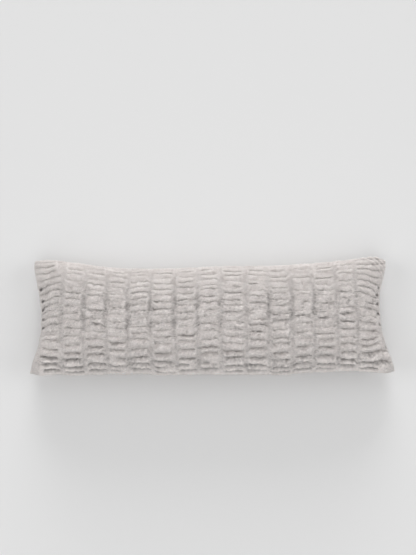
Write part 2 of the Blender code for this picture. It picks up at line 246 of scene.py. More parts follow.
@dataclass(frozen=True)
class Shape:
    """The filled pillow before its face is gathered.

    Powers say how late a change sets in on the way out to a seam or corner: a high one keeps it close to
    them. The two bulges of the back each have a gain and a reach, for the short and the long seams. sag is
    how far the filling has slid to the lower side.
    """

    sections: tuple[Section, ...] = SECTIONS
    left: Side = LEFT
    right: Side = RIGHT
    half_length: float = 0.625
    half_height: float = 0.200
    tip_power_along: int = 24
    tip_power_across: int = 12
    lower_tip_rise: float = 0.25
    seam_height: float = 0.064
    upper_droop: float = 0.020
    lower_droop: float = 0.010
    droop_power_along: int = 14
    droop_power_across: int = 5
    crown: float = 0.098
    belly: float = 0.112
    floor_ease: float = 0.008
    flat_below: float = 0.0005
    end_bulge: tuple[float, float] = (2.7, 0.026)
    long_bulge: tuple[float, float] = (1.25, 0.060)
    bulge_corner_power: int = 12
    bulge_corner_loss: float = 0.5
    bulge_loss_power: int = 8
    end_power: float = 5.0
    upper_power: float = 2.2
    lower_power: float = 5.0
    seam_power: float = 0.62
    sag: float = 0.10
    curve_points: int = 2001

    def half_sizes(self) -> np.ndarray:
        """Half the pillow's length and height."""
        return np.array([self.half_length, self.half_height])

    def filled(self, w: np.ndarray, power: Amount) -> np.ndarray:
        """Share of the full thickness at w, which is -1 and 1 at the two seams."""
        return np.clip(1 - np.abs(w) ** power, 0, 1) ** self.seam_power

    def filled_across(self, wy: np.ndarray) -> np.ndarray:
        """The same across the pillow, where the slid filling fills the lower side more squarely."""
        w = wy + self.sag * (1 - wy**2)
        return self.filled(w, np.where(w > 0, self.upper_power, self.lower_power))

    def up_cover(self, shares: np.ndarray) -> np.ndarray:
        """Measures along the cover's own curve across the face.

        Args:
            shares: how far up the curve, from 0 to 1.

        Returns:
            wy of each of these places.
        """
        w = np.linspace(-1, 1, self.curve_points)
        steps = np.hypot(self.half_height * np.diff(w), self.crown * np.diff(self.filled_across(w)))
        run = np.concatenate([[0], np.cumsum(steps)])
        return np.interp(shares * run[-1], run, w)

    def side_line(self, x: np.ndarray, name: str) -> np.ndarray:
        """Follows a long side smoothly from section to section.

        Args:
            x: places along the pillow.
            name: upper or lower.

        Returns:
            Y of that side's seam.
        """
        at = np.array([section.place for section in self.sections])
        y = np.array([getattr(section, name) for section in self.sections])
        slope = np.gradient(y, at)
        i = np.clip(np.searchsorted(at, x) - 1, 0, len(at) - 2)
        gap = at[i + 1] - at[i]
        t = np.clip((x - at[i]) / gap, 0, 1)
        bend = t * (1 - t) * gap * ((1 - t) * slope[i] - t * slope[i + 1])
        return blended(y[i], y[i + 1], smooth_step(t)) + bend

    def across_at(self, x: np.ndarray, wy: np.ndarray) -> np.ndarray:
        """u of places given by X and wy."""
        left, right = self.left.seam(wy), self.right.seam(wy)
        return np.clip(2 * (x - left) / (right - left) - 1, -1, 1)

    def outline(self, u: np.ndarray, wy: np.ndarray) -> np.ndarray:
        """Places points of the cover as seen from above, before the filling lifts them.

        Args:
            u: places along the pillow.
            wy: places across it.

        Returns:
            X and Y of each point, with the four corners rounded off.
        """
        up = (wy + 1) / 2
        x = blended(self.left.seam(wy), self.right.seam(wy), (u + 1) / 2)
        y = blended(self.side_line(x, "lower"), self.side_line(x, "upper"), up)
        upper = np.where(u > 0, self.right.upper_tip, self.left.upper_tip)
        lower = np.where(u > 0, self.right.lower_tip, self.left.lower_tip)
        tip = np.where(wy > 0, upper, lower)
        tip = tip * np.abs(u) ** self.tip_power_along * np.abs(wy) ** self.tip_power_across
        rise = np.where(wy > 0, 1.0, self.lower_tip_rise)
        return np.stack([x - np.sign(u) * tip, y - np.sign(wy) * tip * rise], axis=-1)

    def seam_level(self, u: np.ndarray, wy: np.ndarray) -> np.ndarray:
        """Reads the height of the seam, which hangs lower at the corners.

        Args:
            u: places along the pillow.
            wy: places across it.

        Returns:
            The height of the seam next to each place.
        """
        droop = np.where(wy > 0, self.upper_droop, self.lower_droop)
        droop = droop * np.abs(u) ** self.droop_power_along * np.abs(wy) ** self.droop_power_across
        return self.seam_height - droop

    def fullness(self, u: np.ndarray, wy: np.ndarray) -> np.ndarray:
        """Share of the full thickness."""
        return self.filled(u, self.end_power) * self.filled_across(wy)

    def face(self, u: np.ndarray, wy: np.ndarray) -> np.ndarray:
        """Points of the face before it is gathered."""
        z = self.seam_level(u, wy) + self.crown * self.fullness(u, wy)
        return np.concatenate([self.outline(u, wy), z[..., None]], axis=-1)

    def face_ways(self, u: np.ndarray, wy: np.ndarray) -> tuple[np.ndarray, np.ndarray]:
        """Reads how the ungathered face lies, a little inside the seams, where it is steep.

        Args:
            u: places along the pillow.
            wy: places across it.

        Returns:
            The way out of the face, and the way up along it.
        """
        inner, step = 0.985, 0.004
        u, wy = np.clip(u, -inner, inner), np.clip(wy, -inner, inner)
        along = self.face(u + step, wy) - self.face(u - step, wy)
        up = self.face(u, wy + step) - self.face(u, wy - step)
        return unit(np.cross(along, up)), unit(up)

    def back(self, u: np.ndarray, wy: np.ndarray, inward: float) -> np.ndarray:
        """Places the points of the back at a ring that lies this far in from the seam.

        Args:
            u: places of the ring's points along the seam's loop.
            wy: the same, across the pillow.
            inward: how far in from the seam the filling is measured.

        Returns:
            The ring's points, which bulge past the seam and are flat where they lie.
        """
        power = self.bulge_corner_power
        ring_u, ring_y = u * (1 - inward / self.half_length), wy * (1 - inward / self.half_height)
        out = unit(np.stack([np.sign(u) * np.abs(u) ** power, np.sign(wy) * np.abs(wy) ** power], axis=-1))
        bulges = (self.end_bulge, self.long_bulge)
        bulge = np.array([gain * math.exp(-inward / reach) for gain, reach in bulges])
        loss = self.bulge_corner_loss * (np.abs(u) * np.abs(wy)) ** self.bulge_loss_power
        out = out * bulge * inward * (1 - loss)[:, None]
        z = self.seam_level(ring_u, ring_y) - self.belly * self.fullness(ring_u, ring_y)
        eased = (z + self.floor_ease) ** 2 / (4 * self.floor_ease)
        z = np.where(z > self.floor_ease, z, np.where(z < -self.floor_ease, 0.0, eased))
        z = np.where(z < self.flat_below, 0.0, z)
        return np.column_stack([self.outline(ring_u, ring_y) + out, z])


@dataclass
class FaceGrid:
    """The face cut into a grid of points: one row of each array for each lengthwise cut, from left to right.

    swell is how far the column swells between its lines, heights how high the cloth stands above the bottom
    of the creases, tight how hard the nearest line pulls, and sunk how much painted shade, painted light and
    random grain the point's colour takes.
    """

    u: np.ndarray
    wy: np.ndarray
    swell: np.ndarray
    heights: np.ndarray
    tight: np.ndarray
    sunk: np.ndarray | None = None


Cut = tuple[np.ndarray, np.ndarray, np.ndarray, np.ndarray, np.ndarray]


@dataclass(frozen=True)
class Fan:
    """Fine arcs of gathers round the upper right corner.

    inner is the first arc's distance from their middle, and beside is how they fade out beside the corner.
    """

    middle: tuple[float, float] = (0.520, 0.100)
    inner: Fade = Fade(0.092, 0.02)
    beside: Fade = Fade(0.05, 0.3)
    pitch: float = 0.0140
    height: float = 0.0017

    def at(self, points: np.ndarray) -> np.ndarray:
        """Reads the arcs.

        Args:
            points: places on the ungathered face.

        Returns:
            How far the arcs stand out there, from -1 to 1.
        """
        away = points[..., :2] - np.array(self.middle)
        radius = np.linalg.norm(away, axis=-1)
        towards = self.beside.at(away.min(axis=-1) / np.maximum(radius, TINY))
        return np.cos(2 * math.pi * radius / self.pitch) * towards * self.inner.at(radius)


@dataclass(frozen=True)
class Chance:
    """The least and the most that each thing about a crease is by chance.

    wander is in shares of a roll, and bow and tilt are in shares of the cover's height. start and end are
    where a crease opens and closes across its column, from 0 at the left. cut_short is the share of creases
    that start late, and as many end early.
    """

    wander: Span = (-0.2, 0.2)
    depth: Span = (0.75, 1.1)
    depth_again: Span = (0.65, 1.1)
    low_depth: Span = (0.85, 1.15)
    bow: Span = (-0.005, 0.005)
    tilt: Span = (-0.006, 0.006)
    start: Span = (-0.03, 0.07)
    end: Span = (0.93, 1.03)
    cut_short: float = 0.06
    late_start: Span = (0.3, 0.45)
    early_end: Span = (0.55, 0.7)


@dataclass
class Gathers:
    """The columns of rolls between the shirring lines, as shares of the cover and heights above its creases.

    Creases are counted from below. lower_rolls and first_roll are how much taller the lower rolls and the
    lowest one are. low_creases is how many of the lowest creases are drawn deeper, and lowest_deeper is how
    much more the first of them is. faint_crease and outer_crease are depths too, open_right are creases of
    the last column that run past its end, and whole is the start and end of a crease that is open all along.
    Gains, levels and reliefs are shares of a full roll's height, and pulls are the share of a column's width
    over which its rows turn to meet those beyond a line.
    """

    columns: tuple[Column, ...] = COLUMNS
    chance: Chance = Chance()
    seed: int = 7
    cover_height_mm: float = 424
    rolls: int = 18
    lower_rolls: float = 0.15
    first_roll: float = 0.55
    roll_height: float = 0.0093
    roll_lean: float = 0.003
    arch_power: float = 1.45
    line_lean_power: float = 1.5
    bow_level: float = 0.6
    rise_change: Fade = Fade(0.25, 0.5)

    low_creases: int = 4
    lowest_deeper: float = 0.25
    faint_crease: float = 0.7
    outer_crease: float = 1.1
    open_right: tuple[int, ...] = (2, 3)
    whole: Span = (-1.0, 2.0)
    opens_within: float = 0.18

    low_crowded: Fade = Fade(0.44, -0.20)
    seam_crowding: float = 0.24
    middle_roll_gain: float = 0.82
    lower_roll_gain: float = 0.60
    edge_roll_gain: float = 0.28
    line_level: float = 0.75
    top_line_level: float = 0.9
    top_lines: Fade = Fade(0.15, 0.5)
    tight_level: float = -0.3
    line_band: float = 0.24
    upper_edge_relief: float = 0.40
    lower_edge_relief: float = 0.9
    side_relief: float = 0.35
    low_side: Fade = Fade(0.1, -1 / 3)
    ear_relief: float = 0.6
    ear_tight: float = 0.2
    ear_pull: float = 0.8
    low_ear_pull: float = 0.5
    ear_pull_change: Fade = Fade(0.375, 0.25)
    ear_pull_power: float = 1.6
    line_pull: float = 0.2

    cuts_across: int = 21
    cuts_to_lines: float = 0.3
    cuts_along: int = 13
    ear_cuts: int = 12

    def __post_init__(self) -> None:
        """Draws the place and depth of every crease."""
        chance = self.chance
        random = np.random.default_rng(self.seed)
        shape = (len(self.columns), self.rolls + 1)
        wander = random.uniform(*chance.wander, shape)
        self.depth = random.uniform(*chance.depth, shape)
        steps = np.arange(self.rolls + 1)
        place = steps + wander + self.first_roll * (1 - steps / self.rolls) ** 2
        for row, column in enumerate(self.columns):
            place[row] += column.shift
            self.depth[row, [column.faint_a, column.faint_b]] = self.faint_crease
            self.depth[row, 1::2] *= column.alternate
        place[:, 0], place[:, -1] = 0, self.rolls
        self.depth[:, 0], self.depth[:, -1] = 1, 1
        self.place = self.raised(place / self.rolls)
        self.draw_details(np.random.default_rng(self.seed + 1), shape)

    def draw_details(self, random: np.random.Generator, shape: tuple[int, int]) -> None:
        """Draws how each crease bows, tilts and opens, and how deep it is once more.

        Args:
            random: where the draws come from.
            shape: the numbers of columns and of creases in each.
        """
        chance, (columns, creases) = self.chance, shape
        self.depth[:, 1:-1] *= random.uniform(*chance.depth_again, (columns, creases - 2))
        low = slice(1, 1 + self.low_creases)
        self.depth[:, low] = random.uniform(*chance.low_depth, (columns, self.low_creases))
        self.depth[:, 1] += self.lowest_deeper
        self.bow = random.uniform(*chance.bow, shape)
        self.tilt = random.uniform(*chance.tilt, shape)
        self.start = random.uniform(*chance.start, shape)
        self.end = random.uniform(*chance.end, shape)
        part = random.uniform(0, 1, shape)
        self.start = np.where(part < chance.cut_short, random.uniform(*chance.late_start, shape), self.start)
        self.end = np.where(part > 1 - chance.cut_short, random.uniform(*chance.early_end, shape), self.end)
        before, beyond = self.whole
        upper_half, upper_third = slice(self.rolls // 2, None), slice(self.rolls * 2 // 3, -1)
        self.start[0, upper_half], self.end[-1, upper_half] = before, beyond
        self.end[-1, list(self.open_right)] = beyond
        self.depth[[0, -1], upper_third] = self.outer_crease
        for draws, value in ((self.bow, 0), (self.tilt, 0), (self.start, before), (self.end, beyond)):
            draws[:, [0, -1]] = value

    def raised(self, place: np.ndarray) -> np.ndarray:
        """Even places in shares of the cover's height, moved up so that the lower rolls are taller."""
        return place + self.lower_rolls * place * (1 - place)

    def face_quads(self) -> int:
        """How many four-sided faces the face is cut into."""
        cuts = len(self.columns) * self.cuts_across + 2 * self.ear_cuts
        return cuts * self.rolls * self.cuts_along

    def across(self) -> np.ndarray:
        """Where a column is cut lengthwise, in shares of its width, closer together at its two lines."""
        even = np.arange(self.cuts_across) / self.cuts_across
        return blended(even, (1 - np.cos(math.pi * even)) / 2, self.cuts_to_lines)

    def along(self) -> np.ndarray:
        """Where a roll is cut, in shares of its height, closer together at its two creases."""
        return (1 - np.cos(math.pi * np.arange(self.cuts_along) / self.cuts_along)) / 2

    def between(self, creases: np.ndarray) -> np.ndarray:
        """The rows between all the creases of one cut, and the last crease."""
        steps = blended(creases[:-1, None], creases[1:, None], self.along()[None, :])
        return np.append(steps.ravel(), creases[-1])

    def swell(self, share: float) -> float:
        """How far a column swells between its shirring lines, 0 to 1."""
        return float(smooth_step(min(share, 1 - share) / self.line_band))

    def turn(self, share: float, outside: bool) -> np.ndarray:
        """Turns the rows of a column to meet those beyond a line.

        Args:
            share: how far from the line, as a share of the column's width.
            outside: True where an ear lies beyond the line.

        Returns:
            How far each row is turned, from 0 to 1.
        """
        rows = np.arange(self.rolls * self.cuts_along + 1) / (self.rolls * self.cuts_along)
        if outside:
            reach = blended(self.low_ear_pull, self.ear_pull, self.ear_pull_change.at(rows))
            return np.maximum(0, 1 - share / reach) ** self.ear_pull_power
        return 1 - smooth_step(np.full(len(rows), share / self.line_pull))

    def crease_lines(self, row: int, share: float) -> np.ndarray:
        """Follows the creases of a column across it.

        Args:
            row: the column's number.
            share: how far across it, from 0 at the left.

        Returns:
            Where its creases are there, in shares of the cover's height.
        """
        column, place = self.columns[row], self.place[row]
        rise = blended(column.rise_low, column.rise_high, self.rise_change.at(place)) / self.cover_height_mm
        move = rise * np.sin(math.pi * place) + self.tilt[row]
        return place + move * (share - 0.5) + self.bow[row] * (4 * share * (1 - share) - self.bow_level)

    def rows(self, row: int, share: float) -> np.ndarray:
        """Shares of the cover's height at which one column is cut, at this share of its width."""
        return self.between(self.crease_lines(row, share))

    def heights(self, row: int, share: float) -> np.ndarray:
        """Works out the rolls' outline.

        Args:
            row: the column's number.
            share: how far across it, from 0 at the left.

        Returns:
            How far the cloth stands above the bottom of the creases at each row, in shares.
        """
        opened = smooth_step((share - self.start[row]) / self.opens_within)
        depth = self.depth[row] * opened * smooth_step((self.end[row] - share) / self.opens_within)
        u = self.along()
        arch = (1 - np.abs(2 * u - 1) ** self.arch_power) ** (1 / self.arch_power)
        cut = blended(depth[:-1, None], depth[1:, None], u[None, :]) * (1 - arch)[None, :]
        return np.append(1 - cut.ravel(), 1 - depth[-1])

    def seam_rows(self, side: Side) -> np.ndarray:
        """Places the rows along a short seam, where they crowd towards its middle.

        Args:
            side: the short side.

        Returns:
            Shares of the cover's height.
        """
        creases = self.raised(np.arange(self.rolls + 1) / self.rolls)
        low = side.low_crowding * self.low_crowded.at(creases)
        crowding = np.where(creases > 0.5, self.seam_crowding, low)
        return self.between(creases + crowding * np.sin(2 * math.pi * creases) / (2 * math.pi))

    def cut(
        self, shape: Shape, x: np.ndarray, wy: np.ndarray, swell: float, heights: np.ndarray, tight: float
    ) -> Cut:
        """One lengthwise cut, in the order of FaceGrid's arrays."""
        level = np.ones(len(wy))
        return shape.across_at(x, wy), wy, swell * level, heights, tight * level

    def ear_cut(self, shape: Shape, side: Side, line: np.ndarray, edge: np.ndarray, share: float) -> Cut:
        """Cuts the ear, which is the cloth between a short seam and the gathers.

        Args:
            shape: the ungathered pillow.
            side: the short side.
            line: the rows along its seam.
            edge: how high the cloth stands where the gathers end.
            share: how far the cut lies on the way in from the seam.

        Returns:
            The cut.
        """
        wy = shape.up_cover(line)
        x = blended(side.seam(wy), side.gathers_end, share)
        heights = blended(1, edge, blended(self.ear_relief, 1, share))
        return self.cut(shape, x, wy, 1.0, heights, self.ear_tight)

    def column_cuts(
        self, shape: Shape, number: int, left_line: np.ndarray, right_line: np.ndarray
    ) -> list[Cut]:
        """Cuts one column from its left line up to its right one, and at that too in the last column.

        Args:
            shape: the ungathered pillow.
            number: the column's number.
            left_line: the rows along the line on its left.
            right_line: the rows along the line on its right.

        Returns:
            The cuts from left to right.
        """
        first, last = number == 0, number == len(self.columns) - 1
        left = Column(shape.left.gathers_end, 0, self.ear_tight) if first else self.columns[number - 1]
        right = self.columns[number]
        to_left, to_right = left_line - self.rows(number, 0.0), right_line - self.rows(number, 1.0)
        cuts = []
        for share in np.append(self.across(), 1.0) if last else self.across():
            pull = to_left * self.turn(share, first) + to_right * self.turn(1 - share, last)
            wy = shape.up_cover(self.rows(number, share) + pull)
            low = np.clip(-wy, 0, 1) ** self.line_lean_power
            x = blended(left.right + left.lean * low, right.right + right.lean * low, share)
            line, outside = (left, first) if share < 0.5 else (right, last)
            swell = 1.0 if outside else self.swell(share)
            cuts.append(self.cut(shape, x, wy, swell, self.heights(number, share), line.tight))
        return cuts

    def grid(self, shape: Shape) -> FaceGrid:
        """Cuts the whole face, ears included.

        Args:
            shape: the ungathered pillow.

        Returns:
            The grid, with how far each cut swells and how high the cloth stands at each point.
        """
        last = len(self.columns) - 1
        lines = [self.seam_rows(shape.left)]
        lines += [(self.rows(i, 1.0) + self.rows(i + 1, 0.0)) / 2 for i in range(last)]
        lines += [self.seam_rows(shape.right)]
        inward = np.arange(self.ear_cuts) / self.ear_cuts
        left_edge, right_edge = self.heights(0, 0.0), self.heights(last, 1.0)
        cuts = [self.ear_cut(shape, shape.left, lines[0], left_edge, share) for share in inward]
        for i in range(last + 1):
            cuts += self.column_cuts(shape, i, lines[i], lines[i + 1])
        cuts += [self.ear_cut(shape, shape.right, lines[-1], right_edge, share) for share in inward[::-1]]
        return FaceGrid(*(np.array(part) for part in zip(*cuts)))


@dataclass
class Lie:
    """Where each point of the face lies.

    side_gap and long_gap are how far it is from the short and the long seams, and off_side, off_long and
    off_corner are shares that reach 1 where it is clear of the seams and of the corners. middle is 1 where
    the elastic pulls hardest, rough is 1 where the face is most wrinkled, and low is how much more painted
    shade the creases take for lying low, and it also scales the wrinkles.
    """

    side_gap: np.ndarray
    long_gap: np.ndarray
    off_side: np.ndarray
    off_long: np.ndarray
    off_corner: np.ndarray
    middle: np.ndarray
    rough: np.ndarray
    low: np.ndarray


@dataclass
class Gathered:
    """What the gathering does at each point of the face.

    relief is how high the cloth stands in rolls, crest how high it is between a crease and a crest, and hold
    how firmly a shirring line holds it. fine is how deep the small wrinkles are, arcs how far the corner's
    arcs stand out, and pits how deep the seams' stitches pull it in.
    """

    relief: np.ndarray
    crest: np.ndarray
    hold: np.ndarray
    fine: np.ndarray
    arcs: np.ndarray
    pits: np.ndarray


@dataclass(frozen=True)
class LowStep:
    """One step of the painted shade towards the lower seam: how low it is, as -wy, and the share more there.
    """

    down: float
    more: float


LOW_STEPS = (
    LowStep(0.15, 0.0),
    LowStep(0.35, -0.6),
    LowStep(0.55, -0.9),
    LowStep(0.68, -0.9),
    LowStep(0.73, 0.2),
    LowStep(0.80, 1.8),
    LowStep(0.87, 2.5),
    LowStep(0.93, 3.2),
)


@dataclass(frozen=True)
class Wrinkles:
    """Small uneven wrinkles along the rolls, in patches. Plain, low and at_side are shares of their depth."""

    pitch: float = 0.0115
    depth: float = 0.0032
    wander: Ripples = Ripples(0.030, 26, waves=24, height=3.0)
    fine_wander: Ripples = Ripples(0.011, 27, waves=24, height=1.6)
    patches: Ripples = Ripples(0.026, 28, waves=24, stretch=0.6, height=0.7)
    patch_share: float = 0.55
    plain: float = 0.1
    low: float = 0.3
    at_side: float = 0.4

    def at(self, points: np.ndarray, lie: Lie) -> np.ndarray:
        """Reads the wrinkles.

        Args:
            points: places on the ungathered face.
            lie: where they lie.

        Returns:
            How deep the wrinkles are at each.
        """
        wander = self.wander.at(points) + self.fine_wander.at(points)
        line = (1 + np.cos(2 * math.pi * points[..., 1] / self.pitch + wander)) / 2
        patch = np.clip(self.patch_share + self.patches.at(points), 0, 1)
        strength = (self.plain + lie.rough + self.low * lie.low) * lie.off_long
        return line**2 * patch * strength * blended(self.at_side, 1, lie.off_side)


@dataclass(frozen=True)
class SeamPits:
    """Pits where the short seams' stitches pull the cloth in: Y of each along both seams, and their size."""

    left: tuple[float, ...] = (0.088, 0.0455, 0.0135, -0.021, -0.053)
    right: tuple[float, ...] = (0.0955, 0.069, 0.036, 0.0, -0.039, -0.090, -0.1215)
    inward: float = 0.011
    reach: float = 0.0050
    depth: float = 0.014

    def at(self, u: np.ndarray, points: np.ndarray, lie: Lie) -> np.ndarray:
        """Reads the pits.

        Args:
            u: places along the pillow.
            points: the same places on the ungathered face.
            lie: where they lie.

        Returns:
            How deep the pits are at each, from 0 to 1.
        """
        total = np.zeros(u.shape)
        for side, places in ((-1, self.left), (1, self.right)):
            for place in places:
                away = np.hypot(lie.side_gap - self.inward, points[..., 1] - place) / self.reach
                total += np.exp(-(away**2)) * (u * side > 0)
        return total


@dataclass(frozen=True)
class ShadeAndGrainPaint:
    """Painted shade and painted light in the gathered cloth's colour, where 1 takes PileTone's
    SHADE_AND_GRAIN_SHARE off its tone.

    A level is the height, as a share of a roll, below which the cloth gets painted shade. The low creases get
    painted shade once more, apart from the corners, and their crests a painted highlight of up to
    most_painted_light.
    The shirring lines, wrinkles, pits and the grooves of the corner's arcs get painted shade, the arcs'
    ridges painted light, and fuzz is a random grain in the tone.
    """

    crease: float = 1.5
    crease_level: float = 0.6
    low_crease: float = 1.4
    low_level: float = 0.42
    low_power: float = 2.2
    most_painted_light: float = -0.3
    low_off_side: Fade = Fade(0.030, 0.025)
    wrinkle: float = 1.1
    pit: float = 2.7
    arc: float = -0.7
    line: float = 0.55
    plain_line: float = 1.3
    middle_line: float = 0.1
    tight_line: float = -0.8
    line_top: Fade = Fade(1.05, -0.5)
    fuzz: Ripples = Ripples(0.0052, 30, waves=24, stretch=0.4, height=0.60)

    def at(self, grid: FaceGrid, points: np.ndarray, lie: Lie, gathered: Gathered) -> np.ndarray:
        """Reads the painted shade and grain.

        Args:
            grid: the cut face.
            points: its points after they are gathered.
            lie: where they lie.
            gathered: how they are gathered.

        Returns:
            How much painted shade, painted light and grain each point's colour takes.
        """
        # Painted shade in the creases, below crease_level.
        height = blended(self.crease_level, gathered.crest, lie.off_corner)
        sunk = self.crease * (1 + np.minimum(lie.low, 0)) * np.clip(self.crease_level - height, 0, 1)
        # Extra painted shade in the low creases, weighed by deeper, and a painted highlight on their crests.
        deeper = np.maximum(lie.low, 0) * lie.off_corner * self.low_off_side.at(lie.side_gap)
        low = np.maximum(self.low_level - np.clip(height, 0, 1) ** self.low_power, self.most_painted_light)
        # Painted shade along the shirring lines.
        line = self.plain_line + lie.middle * (self.middle_line + self.tight_line * grid.tight)
        sunk += self.low_crease * deeper * low + self.line * gathered.hold * line * self.line_top.at(grid.wy)
        # Painted shade in the wrinkles and pits, painted shade and light on the corner's arcs, and a random
        # grain.
        sunk += self.wrinkle * gathered.fine + self.pit * gathered.pits + self.arc * gathered.arcs
        return sunk + self.fuzz.at(points) * lie.rough


@dataclass
class Cover:
    """The closed cloth cover: the gathered face and the plain back, drawn in by the depth of its pile.

    middle is the wy where the elastic pulls hardest. fade, upper_corner_fade and lower_corner_fade are how
    far from the seams and corners the rolls rise to their full height. gather_reach is how far the seam's
    gathers reach into the back, and back_rings are how far each ring of the back lies in from the seam.
    inner_rings are shares of the last of them.
    """

    shape: Shape
    gathers: Gathers
    fan: Fan = Fan()
    wrinkles: Wrinkles = Wrinkles()
    pits: SeamPits = SeamPits()
    shade_and_grain_paint: ShadeAndGrainPaint = ShadeAndGrainPaint()
    low_steps: tuple[LowStep, ...] = LOW_STEPS
    rough_part: Fade = Fade(0.75, -0.55)
    middle: float = 0.08
    middle_part: Fade = Fade(0.71875, -0.625)

    row_waves: Ripples = Ripples(0.040, 24)
    fine_row_waves: Ripples = Ripples(0.015, 25, height=1.1)
    waviness: float = 0.006
    roll_unevenness: Ripples = Ripples(0.05, 21, height=0.14)
    line_patches: Ripples = Ripples(0.030, 29, waves=24, height=0.5)
    line_patch_share: float = 0.8
    unevenness: Ripples = Ripples(0.028, 22, height=0.0010)
    fade: float = 0.024
    upper_corner_fade: float = 0.022
    lower_corner_fade: float = 0.050
    scallop: float = 0.001
    scallop_reach: float = 0.006
    scallop_end_power: int = 20

    gather_reach: float = 0.004
    pile_depth: float = 0.0022
    least_height: float = 0.0012
    back_rings: tuple[float, ...] = (
        0.0015, 0.004, 0.008, 0.013, 0.019, 0.026, 0.034, 0.044, 0.056, 0.070, 0.088, 0.108, 0.130, 0.155,
    )
    inner_rings: tuple[float, ...] = (0.62, 0.30)

    def lie(self, grid: FaceGrid) -> Lie:
        """Works out where each point of the face lies.

        Args:
            grid: the cut face.

        Returns:
            Its gaps to the seams, and the shares that follow from its place.
        """
        gap = self.shape.half_sizes() * (1 - np.abs(np.stack([grid.u, grid.wy], axis=-1)))
        corner_fade = np.where(grid.wy > 0, self.upper_corner_fade, self.lower_corner_fade)
        downs, mores = [step.down for step in self.low_steps], [step.more for step in self.low_steps]
        return Lie(
            side_gap=gap[..., 0],
            long_gap=gap[..., 1],
            off_side=smooth_step(gap[..., 0] / self.fade),
            off_long=smooth_step(gap[..., 1] / self.fade),
            off_corner=smooth_step(np.linalg.norm(gap, axis=-1) / corner_fade),
            middle=self.middle_part.at(np.abs(grid.wy - self.middle)),
            rough=self.rough_part.at(grid.wy),
            low=np.interp(-grid.wy, downs, mores),
        )

    def gathered(self, grid: FaceGrid, points: np.ndarray, lie: Lie) -> Gathered:
        """Works out how the cloth is gathered.

        Args:
            grid: the cut face.
            points: its points before they are gathered.
            lie: where they lie.

        Returns:
            What the gathering does at each point.
        """
        gathers, wy = self.gathers, grid.wy
        hold = (1 - grid.swell) * lie.off_long
        patchy = np.clip(self.line_patch_share + self.line_patches.at(points), 0, 1)
        loose = blended(gathers.line_level, gathers.top_line_level, gathers.top_lines.at(wy))
        level = blended(loose, gathers.tight_level, lie.middle * grid.tight * patchy)
        crest = (1 - hold) * grid.heights * lie.off_corner + hold * level
        uneven = gathers.middle_roll_gain + self.roll_unevenness.at(points)
        uneven += gathers.edge_roll_gain * wy**2 - gathers.lower_roll_gain * wy
        at_edge = np.where(wy > 0, gathers.upper_edge_relief, gathers.lower_edge_relief)
        at_side = blended(1, gathers.side_relief, gathers.low_side.at(wy))
        return Gathered(
            relief=uneven * blended(at_edge, 1, lie.off_long) * blended(at_side, 1, lie.off_side) * crest,
            crest=crest,
            hold=hold,
            fine=self.wrinkles.at(points, lie),
            arcs=self.fan.at(points),
            pits=self.pits.at(grid.u, points, lie),
        )

    def scallops(self, grid: FaceGrid, lie: Lie) -> np.ndarray:
        """Works out how the long seams swing out at the columns and in at the lines between them.

        Args:
            grid: the cut face.
            lie: where its points lie.

        Returns:
            How far each point moves along Y.
        """
        near = np.exp(-((lie.long_gap / self.scallop_reach) ** 2)) * np.sign(grid.wy)
        return near * (1 - np.abs(grid.u) ** self.scallop_end_power) * self.scallop * (grid.swell - 0.5)

    def face_points(self) -> tuple[np.ndarray, FaceGrid]:
        """Gathers the face.

        Returns:
            The points as an array of lengthwise cuts by rows, and the grid they come from.
        """
        shape, gathers = self.shape, self.gathers
        grid = gathers.grid(shape)
        points = shape.face(grid.u, grid.wy)
        wave = self.row_waves.at(points) + self.fine_row_waves.at(points)
        grid.wy = grid.wy + self.waviness * wave * (1 - grid.wy**4)
        points = shape.face(grid.u, grid.wy)
        out, up = shape.face_ways(grid.u, grid.wy)
        lie = self.lie(grid)
        gathered = self.gathered(grid, points, lie)
        lift = gathers.roll_height * gathered.relief + self.unevenness.at(points) * lie.off_long
        lift += self.fan.height * gathered.arcs - self.wrinkles.depth * gathered.fine
        lean = gathers.roll_lean * gathered.relief * lie.off_long
        points = points + out * lift[..., None] - up * lean[..., None]
        points[..., 2] -= self.pits.depth * gathered.pits
        # Painted shade, painted light and grain for the cloth's colour; the points stay where they are.
        grid.sunk = self.shade_and_grain_paint.at(grid, points, lie, gathered)
        points[..., 1] += self.scallops(grid, lie)
        return points, grid

    def border(self, grid: np.ndarray) -> np.ndarray:
        """The grid's outer points in order, anticlockwise seen from above."""
        return np.concatenate([grid[:-1, 0], grid[-1, :-1], grid[:0:-1, -1], grid[0, :0:-1]])

    def back_loops(self, face: np.ndarray, grid: FaceGrid) -> list[np.ndarray]:
        """Places the rings of the back.

        Args:
            face: the gathered face's points.
            grid: the grid they come from.

        Returns:
            The points of each ring, from the seam to the middle.
        """
        seam_u, seam_wy = self.border(grid.u), self.border(grid.wy)
        pull = self.border(face) - self.shape.face(seam_u, seam_wy)
        rings = []
        for inward in self.back_rings:
            fading = math.exp(-inward / self.gather_reach)
            rings.append(self.shape.back(seam_u, seam_wy, inward) + pull * fading)
        return rings + [rings[-1] * [share, share, 1] for share in self.inner_rings]

